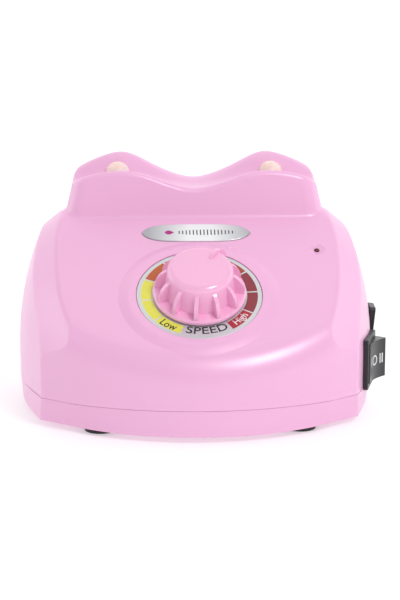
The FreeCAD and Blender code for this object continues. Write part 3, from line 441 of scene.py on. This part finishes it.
def badge_ornament():
    """A plain magenta drop and a row of slim bars, tallest in the middle, in place of any mark."""
    low, high = panel_extent("badge_plate")
    middle_v = (low.y + high.y) / 2
    top = high.z
    drop = []
    for k in range(DROP_STEPS + 1):
        share = k / DROP_STEPS
        half = DROP_HALF * math.sin(math.pi * share) ** 0.8 * (1 - 0.45 * share)
        u = DROP_U + DROP_LENGTH * (share - 0.5)
        drop.append(((u, middle_v - half), (u, middle_v + half)))
    magenta = ink("ink_magenta", linear(176, 32, 128))
    graphite = ink("ink_graphite", linear(52, 52, 58))
    plate_mesh("badge_drop", [drop], top, from_panel, magenta)
    bars = []
    for k in range(BAR_COUNT):
        u = FIRST_BAR_U + k * BAR_PITCH
        half = (0.9 + 1.1 * math.sin(math.pi * (k + 1) / (BAR_COUNT + 1))) * MM
        bars.append([((u, middle_v - half), (u, middle_v + half)),
                     ((u + BAR_WIDTH, middle_v - half), (u + BAR_WIDTH, middle_v + half))])
    plate_mesh("badge_bars", bars, top, from_panel, graphite)


# ---------------------------------------------------------------- marks on the rocker switches

OUTWARD, ALONG, UPWARD = Vector((1, 0, 0)), Vector((0, 1, 0)), Vector((0, 0, 1))
RAY_START = 30 * MM                     # outside every rocker


def surface_of(node):
    mesh = NODES[node].data
    return BVHTree.FromPolygons([vertex.co.copy() for vertex in mesh.vertices],
                                [tuple(face.vertices) for face in mesh.polygons])


def on_rocker(node):
    """Function that lays a flat mark on the rocker's curved face, seen from outside."""
    tree = surface_of(node)
    low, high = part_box(node)
    centre = (low + high) / 2

    def place(u, v, w):
        flat = centre + ALONG * u + UPWARD * v
        hit = tree.ray_cast(flat + OUTWARD * RAY_START, -OUTWARD)[0]
        if hit is None:
            hit = flat
        return hit + OUTWARD * w
    return place


def ring_strip(radius, width, steps=28):
    strip = []
    for k in range(steps + 1):
        turn = 2 * math.pi * k / steps
        inner, outer = radius - width / 2, radius + width / 2
        strip.append(((inner * math.cos(turn), inner * math.sin(turn)),
                      (outer * math.cos(turn), outer * math.sin(turn))))
    return strip


def bar_strip(u, v_low, v_high, width, steps=4):
    return [((u - width / 2, v_low + (v_high - v_low) * k / steps),
             (u + width / 2, v_low + (v_high - v_low) * k / steps)) for k in range(steps + 1)]


def moved(strip, du, dv=0.0):
    return [((a + du, b + dv), (c + du, d + dv)) for (a, b), (c, d) in strip]


MARK_LIFT = 0.02 * MM


def rocker_marks():
    """White position marks: bar, ring and two bars on one rocker, bar and ring on the other."""
    white = ink("mark_white", linear(232, 232, 234))
    half = 2.4 * MM
    strips = [bar_strip(-6.2 * MM, -half, half, 0.65 * MM),
              moved(ring_strip(2.2 * MM, 0.65 * MM), -1.9 * MM),
              bar_strip(3.0 * MM, -half, half, 0.6 * MM),
              bar_strip(4.4 * MM, -half, half, 0.6 * MM)]
    plate_mesh("direction_marks", strips, MARK_LIFT, on_rocker("direction_rocker"), white,
               "direction_paddle")
    strips = [bar_strip(0.0, 2.0 * MM, 5.4 * MM, 0.7 * MM),
              moved(ring_strip(1.5 * MM, 0.6 * MM), 0, -3.9 * MM)]
    plate_mesh("power_marks", strips, MARK_LIFT, on_rocker("power_rocker"), white,
               "power_paddle")


# ---------------------------------------------------------------- stage, light and camera

FLOOR_FRONT, FLOOR_HALF_WIDTH, SWEEP_TOP = -3.0, 4.0, 4.0
BEND_RADIUS, BEND_STEPS = 0.9, 24       # the bend starts one radius behind the object
FLOOR_GLOW, BACKDROP_GLOW = 0.44, 0.8
GLOW_FROM_Y, GLOW_TO_Y = 0.25, 1.2
WORLD_STRENGTH = 0.49


def make_floor():
    """White paper sweep: level under the object, rising behind it in a wide bend."""
    profile = [(FLOOR_FRONT, 0.0)]
    for k in range(BEND_STEPS + 1):
        turn = math.pi / 2 * k / BEND_STEPS
        profile.append((BEND_RADIUS + BEND_RADIUS * math.sin(turn),
                        BEND_RADIUS - BEND_RADIUS * math.cos(turn)))
    profile.append((2 * BEND_RADIUS, SWEEP_TOP))
    vertices = [(x, y, z) for y, z in profile for x in (-FLOOR_HALF_WIDTH, FLOOR_HALF_WIDTH)]
    faces = [(2 * k, 2 * k + 1, 2 * k + 3, 2 * k + 2) for k in range(len(profile) - 1)]
    mesh = bpy.data.meshes.new("floor")
    mesh.from_pydata(vertices, [], faces)
    mesh.shade_smooth()
    floor = bpy.data.objects.new("floor", mesh)
    bpy.context.scene.collection.objects.link(floor)
    material = new_material("floor", 0.6)
    mottle(material, linear(205, 205, 205), 3.0, 0.004)
    shader_of(material).inputs["Emission Color"].default_value = (1, 1, 1, 1)
    place = add_node(material, "ShaderNodeNewGeometry")
    axes = add_node(material, "ShaderNodeSeparateXYZ")
    glow = add_node(material, "ShaderNodeMapRange", From_Min=GLOW_FROM_Y, From_Max=GLOW_TO_Y,
                    To_Min=FLOOR_GLOW, To_Max=BACKDROP_GLOW)
    link(material, place.outputs["Position"], axes.inputs["Vector"])
    link(material, axes.outputs["Y"], glow.inputs["Value"])
    link(material, glow.outputs["Result"], shader_of(material).inputs["Emission Strength"])
    floor.data.materials.append(material)


def make_light(name, place, target, size, power):
    """Rectangular soft light, aimed at a target; power in watts."""
    data = bpy.data.lights.new(name, "AREA")
    data.shape = "RECTANGLE"
    data.size, data.size_y = size
    data.energy = power
    lamp = bpy.data.objects.new(name, data)
    lamp.location = place
    lamp.rotation_euler = (Vector(target) - Vector(place)).to_track_quat("-Z", "Y").to_euler()
    bpy.context.scene.collection.objects.link(lamp)


def make_world():
    world = bpy.data.worlds.new("studio")
    world.use_nodes = True
    background = world.node_tree.nodes["Background"]
    background.inputs["Color"].default_value = (1, 1, 1, 1)
    background.inputs["Strength"].default_value = WORLD_STRENGTH
    bpy.context.scene.world = world


CAMERA_PLACE = Vector((-0.0340, -0.7737, 0.200))
CAMERA_YAW, CAMERA_PITCH = 2.5, 10.75   # degrees to the right of +Y, and below the horizon
CAMERA_LENS = 95.6


def make_camera():
    data = bpy.data.cameras.new("camera")
    data.lens = CAMERA_LENS
    data.sensor_width = 36
    data.clip_start, data.clip_end = 0.05, 30
    camera = bpy.data.objects.new("camera", data)
    camera.location = CAMERA_PLACE
    camera.rotation_euler = (math.radians(90 - CAMERA_PITCH), 0, math.radians(-CAMERA_YAW))
    bpy.context.scene.collection.objects.link(camera)
    bpy.context.scene.camera = camera


dress_cad_nodes()
dial_print()
badge_ornament()
rocker_marks()
make_floor()
make_world()
make_light("key", (0.40, -0.72, 0.80), (0, 0, 0.05), (0.34, 0.34), 5.05)
make_light("fill", (-0.75, -0.45, 0.8), (0, 0, 0.06), (0.5, 0.5), 0.4)
make_light("top", (0, 0.10, 1.1), (0, 0, 0), (0.6, 0.6), 0.7)
make_light("left strip", (-0.95, 0.2, 0.35), (0, 0, 0.06), (0.5, 0.7), 1.5)
make_light("right strip", (0.95, 0.2, 0.35), (0, 0, 0.06), (0.5, 0.7), 1.0)
make_camera()
bpy.context.scene.view_settings.view_transform = "Standard"
